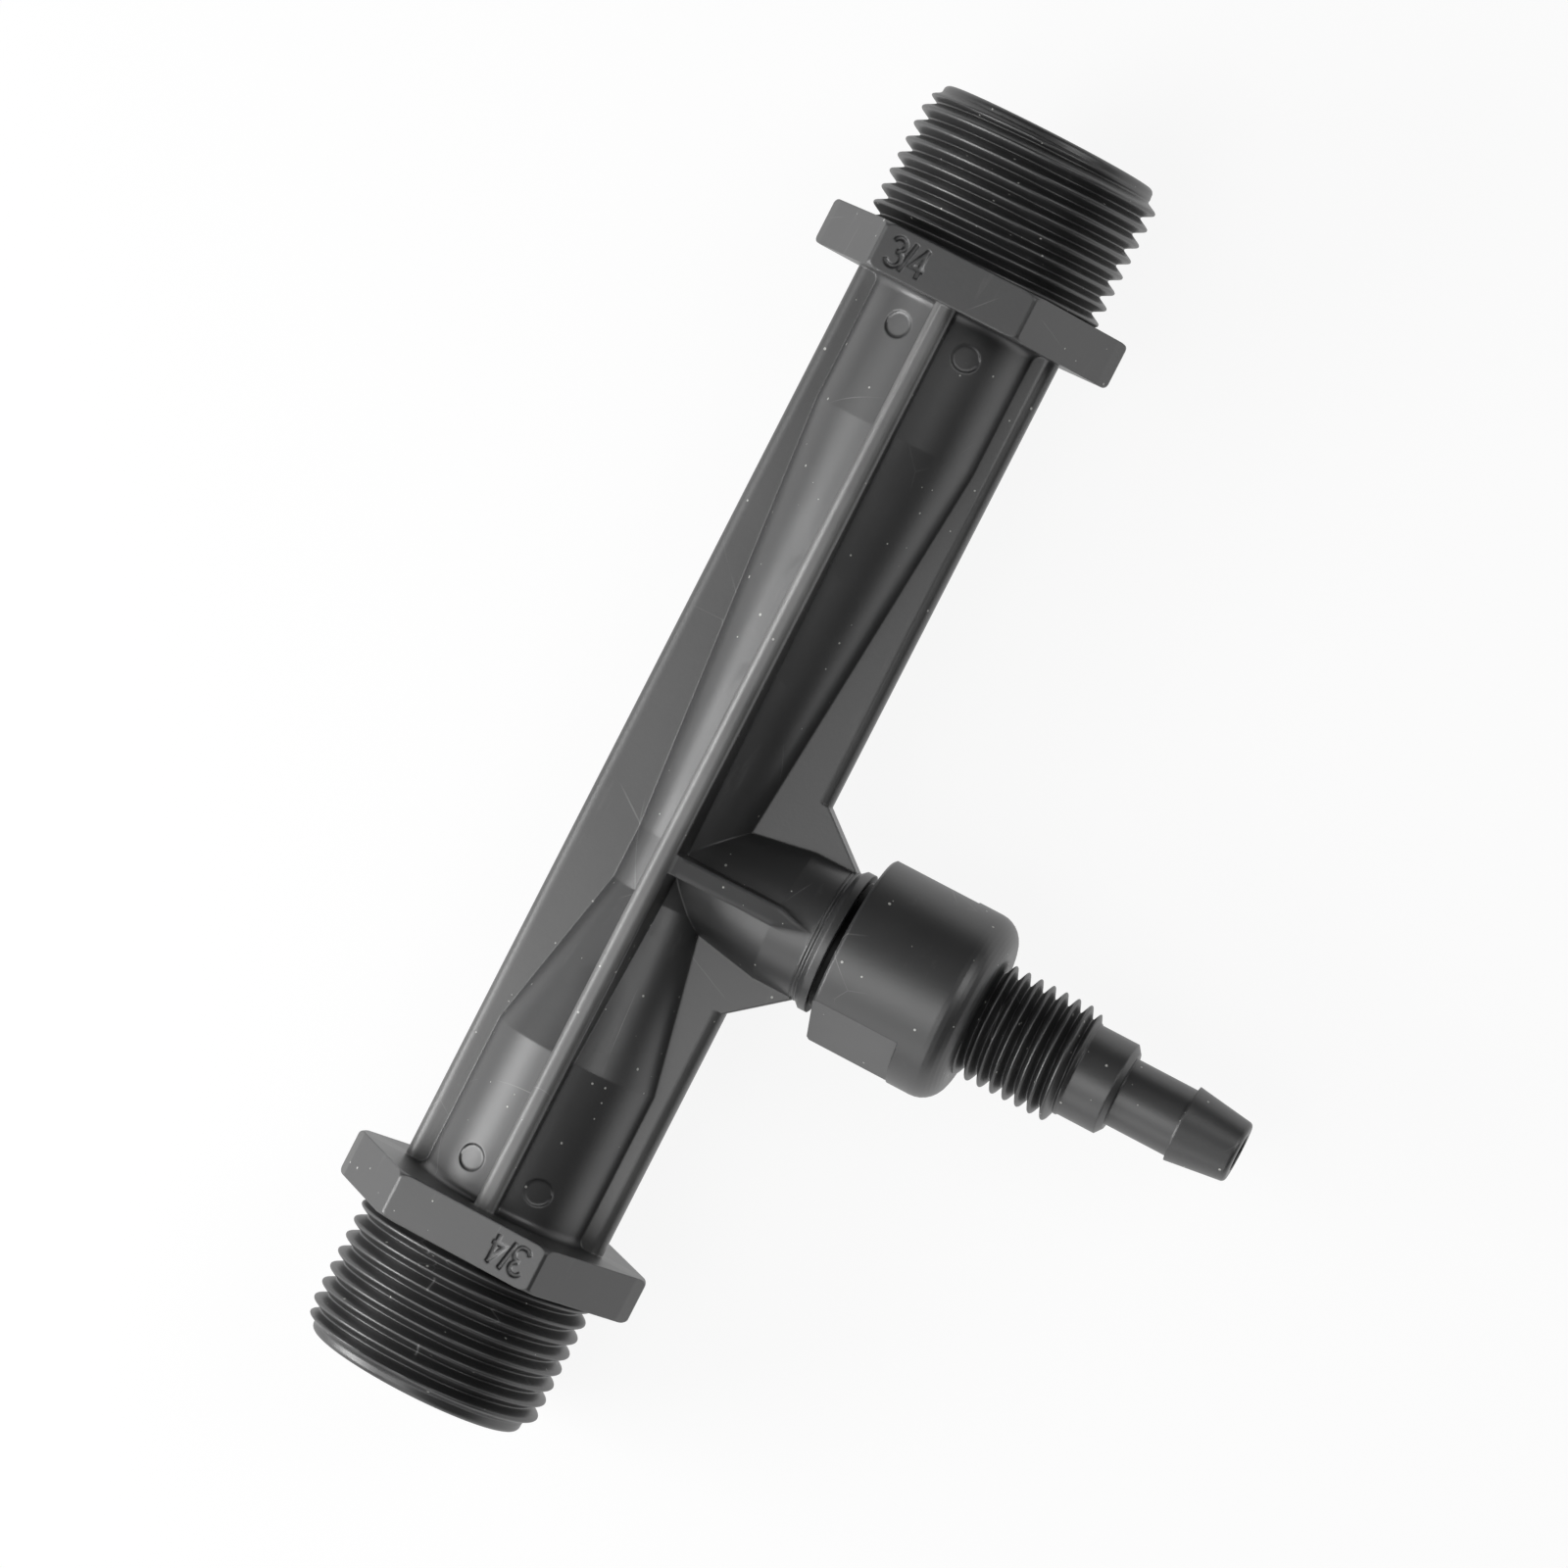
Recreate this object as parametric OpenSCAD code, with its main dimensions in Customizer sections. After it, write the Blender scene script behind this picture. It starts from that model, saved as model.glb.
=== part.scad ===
// Venturi fertilizer injector with a spring-loaded suction check valve.
// Millimetres. The origin is the centre of the inlet end face, on the flow axis.
// +Y is the flow direction, +X the suction branch, +Z up.

/* [Threaded ends] */
// Outside diameter of the pipe thread on both ends
thread_d = 26.4; // [26.0:0.1:27.0]
// Length from an end face to its flange
thread_length = 15.4; // [14:0.1:18]
// Diameter of the plain lead before the first thread
lead_d = 24.0; // [23.4:0.1:24.6]
// Length of the plain lead
lead_length = 1.1; // [0.9:0.1:2]
// Rounding of the end face's outer edge
lead_round = 0.6; // [0.3:0.1:0.8]
// Radius of the open mouth inside each threaded end
mouth_r = 9.0; // [8.2:0.1:9.8]

/* [Flanges] */
// Width across the flats of the six-sided flanges
flange_flats = 29.6; // [29:0.1:31]
// Thickness of each flange
flange_thickness = 5.0; // [4:0.1:6]
// How much the flange corners are turned off
corner_relief = 0.1; // [0.05:0.05:0.4]

/* [Tube] */
// Outside radius of the tube beside each flange
tube_r = 9.2; // [8.8:0.1:9.8]
// Wall thickness of the tube
tube_wall = 2.2; // [1.8:0.1:2.6]
// Length of the straight tube after the inlet flange
inlet_straight = 17.3; // [14:0.1:20]
// Length of the short cone before the throat
inlet_cone = 18.3; // [16:0.1:21]
// Length of the narrow part around the throat
throat_length = 6.0; // [5:0.1:7]
// Length of the long cone after the throat
outlet_cone = 47.5; // [42:0.1:52]
// Length of the straight tube before the outlet flange
outlet_straight = 14.1; // [10:0.1:18]
// Outside radius at the throat
throat_outer_r = 5.4; // [5.1:0.1:6]
// Radius of the jet hole at the throat
jet_r = 2.75; // [2.2:0.05:3]
// Radius where the widening outlet begins
catch_r = 3.3; // [3.1:0.05:3.6]
// Fillet between the tube and each flange
flange_fillet = 0.9; // [0.5:0.1:1.4]

/* [Ribs] */
// Reach of the side ribs from the flow axis
side_rib_reach = 11.6; // [11:0.1:12.4]
// Thickness of the side ribs and gussets
side_rib_thickness = 3.0; // [2.8:0.1:3.6]
// Rounding along the free edge of the side ribs
side_rib_round = 1.25; // [0.4:0.05:1.35]
// Reach of the upper and lower ribs from the flow axis
top_rib_reach = 11.3; // [10.8:0.1:12]
// Thickness of the upper and lower ribs at the free edge
top_rib_tip = 2.3; // [2.2:0.1:2.6]
// Thickness of the upper and lower ribs at the flow axis
top_rib_root = 2.6; // [2.6:0.1:3.4]
// Rounding along the free edge of the upper and lower ribs
top_rib_round = 0.9; // [0.3:0.05:1.05]

/* [Suction branch] */
// Radius of the branch where it leaves the tube
branch_root_r = 6.1; // [5.6:0.1:6.5]
// Radius of the straight part of the branch
branch_r = 7.35; // [7.1:0.05:7.5]
// Distance from the flow axis to the start of the straight part
branch_cone_end = 12.5; // [11.5:0.1:14]
// Radius of the collar that faces the cap
collar_r = 7.9; // [7.7:0.1:8.4]
// Distance from the flow axis to the collar
collar_start = 18.0; // [17.4:0.1:18.4]
// Width of the collar
collar_width = 0.9; // [0.7:0.1:1.2]
// Radius of the screwed spigot inside the cap
spigot_r = 7.0; // [6.8:0.05:7.2]
// Distance from the flow axis to the spigot's end
spigot_end = 27.0; // [26:0.1:27.6]
// Radius of the valve chamber inside the branch
chamber_r = 5.0; // [4.7:0.05:5.2]
// Distance from the flow axis to the chamber's floor
chamber_floor = 9.5; // [8.5:0.1:10.5]
// Radius of the hole from the chamber into the throat
suction_hole_r = 2.0; // [1.5:0.1:2.3]
// Width of the fins on top of and below the branch
fin_width = 2.1; // [1.7:0.1:2.5]
// Reach of the fins from the branch axis, where they leave the ribs
fin_reach = 11.0; // [10:0.1:11.2]
// Height of the fins above the branch at their pointed end
fin_height = 0.1; // [0.05:0.05:0.4]
// Distance from the flow axis to the pointed end of the fins
fin_end = 16.5; // [15.5:0.1:17.2]
// Length of the fins' pointed end
fin_point = 3.8; // [2:0.1:5]
// Distance from the flow axis to the gussets' outer corner
gusset_reach = 17.1; // [16:0.1:17.4]
// Length of the gussets along the tube, from the branch axis
gusset_length = 12.0; // [10:0.1:14]

/* [Suction cap] */
// Outside radius of the cap
cap_r = 10.4; // [10.2:0.1:11]
// Distance from the branch axis to each spanner flat
cap_flat = 8.9; // [8.6:0.1:9.4]
// Turn of the spanner flats about the branch axis, in degrees
cap_turn = 64; // [0:1:180]
// Length of the spanner flats from the cap's open end
cap_flat_length = 9.7; // [8:0.1:11]
// Gap between the collar and the cap
cap_gap = 1.1; // [0.7:0.1:1.3]
// Length of the cap without its nipple
cap_length = 15.2; // [14.5:0.1:16.5]
// Rounding of the cap's shoulder
cap_shoulder = 2.9; // [2:0.1:3.4]
// Clearance of the cap on the spigot
cap_clearance = 0.1; // [0.05:0.05:0.2]

/* [Nipple] */
// Outside diameter of the nipple's thread
nipple_thread_d = 12.8; // [12.4:0.1:13.2]
// Length of the nipple's thread
nipple_thread_length = 11.5; // [9:0.1:14]
// Diameter of the plain part after the thread
nipple_plain_d = 10.2; // [9.6:0.1:10.6]
// Length of the plain part
nipple_plain_length = 4.8; // [3.5:0.1:6]
// Diameter of the hose stem
stem_d = 7.5; // [7.2:0.1:7.8]
// Length of the hose stem
stem_length = 7.0; // [5:0.1:9]
// Largest diameter of the barb
barb_d = 8.4; // [8.2:0.1:8.8]
// Diameter of the barb at its tip
barb_tip_d = 6.75; // [6.4:0.05:7]
// Length of the barb
barb_length = 6.5; // [5:0.1:8]
// Radius of the bore through the nipple
nipple_bore_r = 2.0; // [1.6:0.1:2.2]

/* [Check valve] */
// Radius of the ball
ball_r = 4.0; // [3.8:0.05:4.1]
// Gap between the resting ball and its seat
ball_gap = 0.15; // [0.1:0.05:0.3]
// Thickness of the sealing ring under the cap
seal_thickness = 1.6; // [1.3:0.1:2]
// Space between the sealing ring and the walls around it
seal_clearance = 0.2; // [0.1:0.05:0.4]
// Wire diameter of the spring
wire_d = 0.6; // [0.4:0.05:0.7]
// Turns of the spring
spring_turns = 7; // [5:1:9]
// Radius of the spring to the middle of its wire
spring_r = 3.3; // [2.9:0.05:3.5]

/* [Hidden] */
$fn = 96;
black = [0.06, 0.06, 0.065];
tube_bore = tube_r - tube_wall;
inlet_flange = thread_length;
tube_start = inlet_flange + flange_thickness;
cone_start = tube_start + inlet_straight;
throat_start = cone_start + inlet_cone;
throat_end = throat_start + throat_length;
cone_end = throat_end + outlet_cone;
outlet_flange = cone_end + outlet_straight;
outlet_thread = outlet_flange + flange_thickness;
total_length = outlet_thread + thread_length;
branch_y = throat_start + throat_length * 0.77;
jet_end = branch_y - suction_hole_r * 0.4;
corner_r = flange_flats / 2 / cos(30) - corner_relief;
mouth_depth = inlet_flange + flange_thickness * 0.5;
mouth_taper = mouth_r - tube_bore + 2.5;
collar_end = collar_start + collar_width;
cap_start = collar_end + cap_gap;
cap_end = cap_start + cap_length;
cap_floor = spigot_end + seal_thickness;
seat_start = cap_floor + 0.4;
seat_apex = seat_start + chamber_r;
ball_x = seat_apex - (ball_r + ball_gap) * sqrt(2);
thread_end = cap_end + nipple_thread_length;
plain_end = thread_end + nipple_plain_length;
stem_end = plain_end + stem_length;
tip_end = stem_end + barb_length;
wire_touch = ball_r + wire_d / 2 + 0.08;
spring_low = chamber_floor + wire_d / 2;
spring_high = ball_x - sqrt(wire_touch * wire_touch - spring_r * spring_r);

// Turns a shape that was drawn along Z to run along the flow axis.
module along_flow() {
    rotate([-90, 0, 0]) children();
}

// Turns a shape that was drawn along Z to run along the branch axis.
module along_branch() {
    translate([0, branch_y, 0]) rotate([0, 90, 0]) children();
}

// One side of a rounded corner as points, from angle a to angle b about [x, y].
function arc(x, y, r, a, b, steps = 8) =
    [for (i = [0 : steps]) [x + r * cos(a + (b - a) * i / steps), y + r * sin(a + (b - a) * i / steps)]];

// Outer form of the tube with both threaded ends, turned about the flow axis.
module tube_outside() {
    along_flow() rotate_extrude() polygon(concat(
        [[0, 0]],
        arc(lead_d / 2 - lead_round, lead_round, lead_round, -90, 0),
        [
            [lead_d / 2, lead_length],
            [thread_d / 2, lead_length + (thread_d - lead_d) / 4],
            [thread_d / 2, inlet_flange + 1],
            [tube_r + flange_fillet, inlet_flange + 1]
        ],
        arc(tube_r + flange_fillet, tube_start + flange_fillet, flange_fillet, 270, 180),
        [
            [tube_r, cone_start],
            [throat_outer_r, throat_start],
            [throat_outer_r, throat_end],
            [tube_r, cone_end]
        ],
        arc(tube_r + flange_fillet, outlet_flange - flange_fillet, flange_fillet, 180, 90),
        [
            [tube_r + flange_fillet, outlet_thread - 1],
            [thread_d / 2, outlet_thread - 1],
            [thread_d / 2, total_length - lead_length - (thread_d - lead_d) / 4],
            [lead_d / 2, total_length - lead_length]
        ],
        arc(lead_d / 2 - lead_round, total_length - lead_round, lead_round, 0, 90),
        [[0, total_length]]
    ));
}

// Six-sided flange with turned corners, flats up and down.
module hex_flange(y) {
    translate([0, y, 0]) along_flow() intersection() {
        cylinder(r = flange_flats / 2 / cos(30), h = flange_thickness, $fn = 6);
        cylinder(r = corner_r, h = flange_thickness);
    }
}

// Side ribs: one flat web through the tube with rounded free edges.
module side_ribs() {
    half = side_rib_thickness / 2;
    edge = side_rib_reach - side_rib_round;
    low = half - side_rib_round;
    translate([0, tube_start - 1, 0]) along_flow() linear_extrude(outlet_flange - tube_start + 2)
        polygon(concat(
            arc(edge, -low, side_rib_round, -90, 0),
            arc(edge, low, side_rib_round, 0, 90),
            arc(-edge, low, side_rib_round, 90, 180),
            arc(-edge, -low, side_rib_round, 180, 270)
        ));
}

// Upper and lower ribs, drafted towards their rounded free edge.
module top_ribs() {
    side = top_rib_tip / 2 - top_rib_round;
    top = top_rib_reach - top_rib_round;
    translate([0, tube_start - 1, 0]) along_flow() linear_extrude(outlet_flange - tube_start + 2)
        polygon(concat(
            [[top_rib_root / 2, 0]],
            arc(side, top, top_rib_round, 0, 90),
            arc(-side, top, top_rib_round, 90, 180),
            [[-top_rib_root / 2, 0]],
            arc(-side, -top, top_rib_round, 180, 270),
            arc(side, -top, top_rib_round, 270, 360)
        ));
}

// Gussets between the side rib and the branch.
module gussets() {
    for (side = [-1, 1])
        translate([0, branch_y, -side_rib_thickness / 2]) linear_extrude(side_rib_thickness)
            polygon([
                [throat_outer_r, 0],
                [gusset_reach, 0],
                [gusset_reach, side * branch_r],
                [side_rib_reach - 0.2, side * gusset_length],
                [throat_outer_r, side * gusset_length]
            ]);
}

// Outer form of the branch with its collar and the spigot that the cap screws on.
module branch_outside() {
    along_branch() rotate_extrude() polygon([
        [0, 0],
        [branch_root_r - 0.9, 0],
        [branch_root_r, throat_outer_r],
        [branch_r, branch_cone_end],
        [branch_r, collar_start - 0.6],
        [collar_r, collar_start],
        [collar_r, collar_end],
        [spigot_r, collar_end],
        [spigot_r, spigot_end - 0.6],
        [spigot_r - 0.6, spigot_end],
        [0, spigot_end]
    ]);
}

// Pointed fins along the top and bottom of the branch, sloping from the ribs down to the branch.
module branch_fins() {
    low = branch_r + fin_height;
    intersection() {
        translate([0, branch_y, -fin_reach]) linear_extrude(2 * fin_reach) polygon([
            [0, -fin_width / 2],
            [fin_end - fin_point, -fin_width / 2],
            [fin_end, 0],
            [fin_end - fin_point, fin_width / 2],
            [0, fin_width / 2]
        ]);
        translate([0, branch_y + fin_width, 0]) rotate([90, 0, 0]) linear_extrude(2 * fin_width) polygon([
            [0, -fin_reach],
            [fin_end, -low],
            [fin_end, low],
            [0, fin_reach]
        ]);
    }
}

// Water way: mouth, inlet cone, jet, widening outlet cone and mouth.
module water_way() {
    along_flow() rotate_extrude() polygon([
        [0, -1],
        [mouth_r, -1],
        [mouth_r, mouth_depth],
        [tube_bore, mouth_depth + mouth_taper],
        [tube_bore, cone_start],
        [jet_r, throat_start],
        [jet_r, jet_end],
        [catch_r, jet_end],
        [tube_bore, cone_end],
        [tube_bore, total_length - mouth_depth - mouth_taper],
        [mouth_r, total_length - mouth_depth],
        [mouth_r, total_length + 1],
        [0, total_length + 1]
    ]);
}

// Suction way: hole from the throat and the valve chamber.
module suction_way() {
    along_branch() {
        cylinder(r = suction_hole_r, h = chamber_floor + 1);
        translate([0, 0, chamber_floor]) cylinder(r = chamber_r, h = spigot_end - chamber_floor + 1);
    }
}

module venturi_body() {
    color(black) difference() {
        union() {
            tube_outside();
            hex_flange(inlet_flange);
            hex_flange(outlet_flange);
            side_ribs();
            top_ribs();
            gussets();
            branch_outside();
            branch_fins();
        }
        water_way();
        suction_way();
    }
}

// Screw cap with shoulder, threaded nipple and barbed end, all turned about the branch axis.
module cap_outside() {
    rotate_extrude() polygon(concat(
        [[0, cap_start], [cap_r - 0.3, cap_start], [cap_r, cap_start + 0.3]],
        arc(cap_r - cap_shoulder, cap_end - cap_shoulder, cap_shoulder, 0, 90),
        [
            [nipple_thread_d / 2, cap_end],
            [nipple_thread_d / 2, thread_end - (nipple_thread_d - nipple_plain_d) / 4],
            [nipple_plain_d / 2, thread_end],
            [nipple_plain_d / 2, plain_end - 0.6],
            [nipple_plain_d / 2 - 0.8, plain_end],
            [stem_d / 2, plain_end],
            [stem_d / 2, stem_end],
            [barb_d / 2, stem_end]
        ],
        arc(barb_tip_d / 2 - 0.5, tip_end - 0.5, 0.5, 7, 90),
        [[0, tip_end]]
    ));
}

// Space left outside one spanner flat.
module flat_cut() {
    translate([cap_flat, -cap_r, cap_start - 1]) cube([cap_r, 2 * cap_r, cap_flat_length + 1]);
}

module suction_cap() {
    color(black) along_branch() difference() {
        cap_outside();
        rotate([0, 0, 180 + cap_turn]) flat_cut();
        rotate([0, 0, cap_turn]) flat_cut();
        rotate_extrude() polygon([
            [0, cap_start - 1],
            [spigot_r + cap_clearance, cap_start - 1],
            [spigot_r + cap_clearance, cap_floor],
            [chamber_r, cap_floor],
            [chamber_r, seat_start],
            [nipple_bore_r, seat_apex - nipple_bore_r],
            [nipple_bore_r, tip_end + 1],
            [0, tip_end + 1]
        ]);
    }
}

module cap_seal() {
    color([0.03, 0.03, 0.03]) along_branch() translate([0, 0, spigot_end]) difference() {
        cylinder(r = spigot_r - seal_clearance, h = seal_thickness);
        translate([0, 0, -1]) cylinder(r = chamber_r + seal_clearance, h = seal_thickness + 2);
    }
}

module check_ball() {
    color([0.75, 0.75, 0.72]) translate([ball_x, branch_y, 0]) sphere(r = ball_r);
}

// Round wire swept along a helix, with its end turns closed up.
module check_spring() {
    around = 10;
    steps = 24 * spring_turns;
    rise = spring_high - spring_low;
    function climb(t) =
        let (s = (t * spring_turns - 1) / (spring_turns - 2))
        wire_d * 1.02 * min(1, t * spring_turns)
        + (rise - 2.04 * wire_d) * max(0, min(1, s))
        + wire_d * 1.02 * max(0, t * spring_turns - spring_turns + 1);
    rings = [for (i = [0 : steps], j = [0 : around - 1])
        let (
            t = i / steps,
            turn = 360 * spring_turns * t,
            a = 360 * j / around,
            r = spring_r + wire_d / 2 * cos(a)
        )
        [r * cos(turn), r * sin(turn), spring_low + climb(t) + wire_d / 2 * sin(a)]];
    skin = [for (i = [0 : steps - 1], j = [0 : around - 1])
        let (k = (j + 1) % around)
        [i * around + j, (i + 1) * around + j, (i + 1) * around + k, i * around + k]];
    start_cap = [[for (j = [0 : around - 1]) j]];
    end_cap = [[for (j = [around - 1 : -1 : 0]) steps * around + j]];
    color([0.7, 0.71, 0.73]) along_branch()
        polyhedron(points = rings, faces = concat(skin, start_cap, end_cap), convexity = 6);
}

venturi_body();
suction_cap();
cap_seal();
check_ball();
check_spring();
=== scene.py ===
import math

import bmesh
import bpy
from mathutils import Matrix, Vector
from mathutils.bvhtree import BVHTree
from mathutils.interpolate import poly_3d_calc


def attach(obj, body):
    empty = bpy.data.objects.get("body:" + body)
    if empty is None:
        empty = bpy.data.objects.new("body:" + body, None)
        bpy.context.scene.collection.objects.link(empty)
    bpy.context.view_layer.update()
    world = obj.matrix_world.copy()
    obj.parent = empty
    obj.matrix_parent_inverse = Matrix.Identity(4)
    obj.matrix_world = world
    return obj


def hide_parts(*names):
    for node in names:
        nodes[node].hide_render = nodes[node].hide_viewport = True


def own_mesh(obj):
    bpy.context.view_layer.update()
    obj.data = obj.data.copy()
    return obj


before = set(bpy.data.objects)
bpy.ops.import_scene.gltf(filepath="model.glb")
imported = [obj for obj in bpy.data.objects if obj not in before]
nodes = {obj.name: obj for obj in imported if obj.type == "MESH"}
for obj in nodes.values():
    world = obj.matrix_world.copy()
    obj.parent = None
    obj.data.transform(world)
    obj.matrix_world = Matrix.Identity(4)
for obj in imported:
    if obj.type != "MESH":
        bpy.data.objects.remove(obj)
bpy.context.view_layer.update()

scene = bpy.context.scene
MM = 0.001

# Sizes repeated from the solids, in millimetres.
THREAD_R = 13.2
THREAD_ROOT_R = 12.0
THREAD_PITCH = 1.814
LEAD_R = 12.0
LEAD_LENGTH = 1.1
LEAD_ROUND = 0.6
MOUTH_R = 9.0
INLET_FLANGE = 15.4
OUTLET_FLANGE = 123.6
FLANGE_THICKNESS = 5.0
OUTLET_THREAD = OUTLET_FLANGE + FLANGE_THICKNESS
TOTAL_LENGTH = 144.0
TUBE_R = 9.2
FLANGE_Z = 14.8
FLANGE_CORNER_R = 16.99
CORNER_ROUND = 0.6
BRANCH_Y = 60.62
BRANCH_R = 7.35
COLLAR_START = 18.0
GAP_START = 18.93
CAP_END = 35.2
NIPPLE_THREAD_END = 46.7
NIPPLE_R = 6.4
NIPPLE_ROOT_R = 5.2
NIPPLE_PLAIN_R = 5.1
NIPPLE_PITCH = 1.45
SPRING_LOW = 9.8
SPRING_HIGH = 25.25
SPRING_R = 3.3
SPRING_TURNS = 7
WIRE_R = 0.3
CLOSED_TURN = 2.04

# Threads of the visual: where a crest crosses the zero turn, how far the thread fades in around the lead's end,
# how deep its end rings sit in the face beside it and how far they stand out there.
INLET_CREST = 1.7
OUTLET_CREST = 141.3
NIPPLE_CREST = CAP_END + 0.9
FADE_BEFORE = 0.3
FADE_AFTER = 0.7
NIPPLE_FADE = (0.1, 0.9)
THREAD_SEAT = 0.01
THREAD_SKIRT = 0.2

# Marks left by the mould, in millimetres.
PIN_MARK_R = 1.45
PIN_MARK_X = 3.9
PIN_MARK_DEPTH = 0.1
PIN_MARK_FROM_FLANGE = 3.8
NUMERAL_HEIGHT = 3.1
NUMERAL_STROKE_R = 0.24
NUMERAL_OFFSET = 5.0
RING_FROM_COLLAR = (1.15, 0.8)
RING_HEIGHT = 0.07
RING_WIDTH = 0.16
FLASH_WIDTH = 0.2
# Across the flow, and from where to where along it.
FLASH_LINES = ((-0.95, 10.6, 12.1), (0.85, 4.1, 5.4))

# How far cutters stand clear of the surface that they cut, in millimetres.
CUTTER_CLEAR = 0.6
RING_CLEAR = (0.2, 0.4)

# Tolerances: lengths in metres for joining points and for finding a solid's own face, and slack in millimetres
# for choosing the faces that the threads take the place of.
WELD = 1e-7
THREAD_WELD = 2e-7
SAME_PLACE = 2e-6
SAME_WAY = 0.999
MOUTH_SLACK = 0.05
FACE_SLACK = 0.02
PLAIN_SLACK = 0.03

# Each face's tag: a face of the solid, counted from one, or one of these.
FROM_SOLID = "from_solid"
THREAD_FACE = 0
CUT_FACE = -1


def link(obj):
    scene.collection.objects.link(obj)
    return obj


def plain_mesh(name, bm):
    mesh = bpy.data.meshes.new(name)
    bm.to_mesh(mesh)
    bm.free()
    return mesh


def bridge(bm, one, two):
    """Faces between two closed rings of points."""
    for j in range(len(one)):
        k = (j + 1) % len(one)
        bm.faces.new((one[j], one[k], two[k], two[j]))


def full_turn(count):
    return [math.tau * j / count for j in range(count)]


def mesh_object(name, bm, solid=None, smooth_angle=32):
    """A new object from a bmesh, smooth up to the given angle.

    Faces taken from a solid keep its exact normals. Threads take the second material.
    """
    mesh = plain_mesh(name, bm)
    mesh.shade_smooth()
    mesh.set_sharp_from_angle(angle=math.radians(smooth_angle))
    if solid:
        normals = [Vector(n.vector) for n in mesh.corner_normals]
        exact = [Vector(n.vector) for n in solid.corner_normals]
        tags = [tag.value for tag in mesh.attributes[FROM_SOLID].data]
        for face in mesh.polygons:
            face.material_index = 1 if tags[face.index] == THREAD_FACE else 0
            if tags[face.index] > 0:
                corners = solid.polygons[tags[face.index] - 1].loop_indices
                spots = [solid.vertices[solid.loops[c].vertex_index].co for c in corners]
                for k in face.loop_indices:
                    shares = poly_3d_calc(spots, mesh.vertices[mesh.loops[k].vertex_index].co)
                    mixed = sum((exact[c] * share for c, share in zip(corners, shares)), Vector())
                    normals[k] = mixed.normalized()
        mesh.attributes.remove(mesh.attributes[FROM_SOLID])
        mesh.normals_split_custom_set(normals)
    return link(bpy.data.objects.new(name, mesh))


def on_flow(along, radius, turn):
    """A point about the flow axis: millimetres along +Y, radius and right-handed angle from +Z."""
    return Vector((radius * math.sin(turn), along, radius * math.cos(turn))) * MM


def on_branch(along, radius, turn):
    """A point about the branch axis: millimetres along +X, radius and right-handed angle from +Y."""
    return Vector((along, BRANCH_Y + radius * math.cos(turn), radius * math.sin(turn))) * MM


def smooth_step(low, high, value):
    t = min(1.0, max(0.0, (value - low) / (high - low)))
    return t * t * (3 - 2 * t)


# Share of a pitch and height of the thread there: narrow round root, straight flanks, round crest.
THREAD_FORM = (
    (0.0, 0.0), (0.035, 0.012), (0.07, 0.06), (0.12, 0.18), (0.2, 0.41), (0.28, 0.64),
    (0.35, 0.83), (0.4, 0.93), (0.45, 0.985), (0.5, 1.0), (0.55, 0.985), (0.6, 0.93),
    (0.65, 0.83), (0.72, 0.64), (0.8, 0.41), (0.88, 0.18), (0.93, 0.06), (0.965, 0.012),
)


def form_height(share):
    share %= 1.0
    points = THREAD_FORM + ((1.0, 0.0),)
    for (a, low), (b, high) in zip(points, points[1:]):
        if a <= share <= b:
            return low + (high - low) * (share - a) / (b - a)
    return 0.0


def add_thread(bm, place, low, high, crest_at, pitch, root, crest, strength, before, after, columns=160):
    """Helical thread skin between two places on an axis, whose rows follow the turns of the thread.

    One crest passes crest_at where the turn is zero. before and after are plain rings (along, radius)
    that carry the skin on past its two ends.
    """
    rows_each = len(THREAD_FORM)
    turns = math.ceil((high - low) / pitch) + 3
    rows = rows_each * turns
    first = crest_at - pitch / 2
    base = first + pitch * math.floor((low - first) / pitch)

    def radius_at(along, turn):
        lift = form_height((along - base) / pitch - turn / math.tau)
        return root + (crest - root) * lift * strength(along)

    grid = []
    for j in range(columns):
        turn = math.tau * j / columns
        column = []
        for i in range(rows + 1):
            share = i // rows_each + THREAD_FORM[i % rows_each][0]
            along = min(high, max(low, base + pitch * (share - 1 + j / columns)))
            column.append((along, bm.verts.new(place(along, radius_at(along, turn), turn))))
        grid.append(column)
    for j in range(columns):
        shift = rows_each if j == columns - 1 else 0
        other = grid[(j + 1) % columns]
        for i in range(rows):
            k = i + shift
            here = (grid[j][i], grid[j][i + 1])
            there = (other[min(k, rows)], other[min(k + 1, rows)])
            spots = {p[0] for p in here + there}
            if spots == {low} or spots == {high}:
                continue
            corners = []
            for spot in (here[0], here[1], there[1], there[0]):
                if spot[1] not in corners:
                    corners.append(spot[1])
            if len(corners) > 2:
                bm.faces.new(corners)

    def ring(along, radius):
        return [bm.verts.new(place(along, radius, t)) for t in full_turn(columns)]

    def edge_ring(along):
        return [bm.verts.new(place(along, radius_at(along, t), t)) for t in full_turn(columns)]

    rings_before = [ring(*spot) for spot in before] + [edge_ring(low)]
    rings_after = [edge_ring(high)] + [ring(*spot) for spot in after]
    for rings in (rings_before, rings_after):
        for one, two in zip(rings, rings[1:]):
            bridge(bm, one, two)


def carved(mesh, cutters):
    """The mesh with every cutter's form taken out of it."""
    obj = link(bpy.data.objects.new("blank", mesh))
    tools = [link(bpy.data.objects.new("cutter", cutter)) for cutter in cutters]
    for tool in tools:
        cut = obj.modifiers.new("cut", "BOOLEAN")
        cut.operation = "DIFFERENCE"
        cut.solver = "EXACT"
        cut.object = tool
    bpy.context.view_layer.update()
    result = bpy.data.meshes.new_from_object(obj.evaluated_get(bpy.context.evaluated_depsgraph_get()))
    for used in [obj] + tools:
        spare = used.data
        bpy.data.objects.remove(used)
        bpy.data.meshes.remove(spare)
    return result


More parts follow.
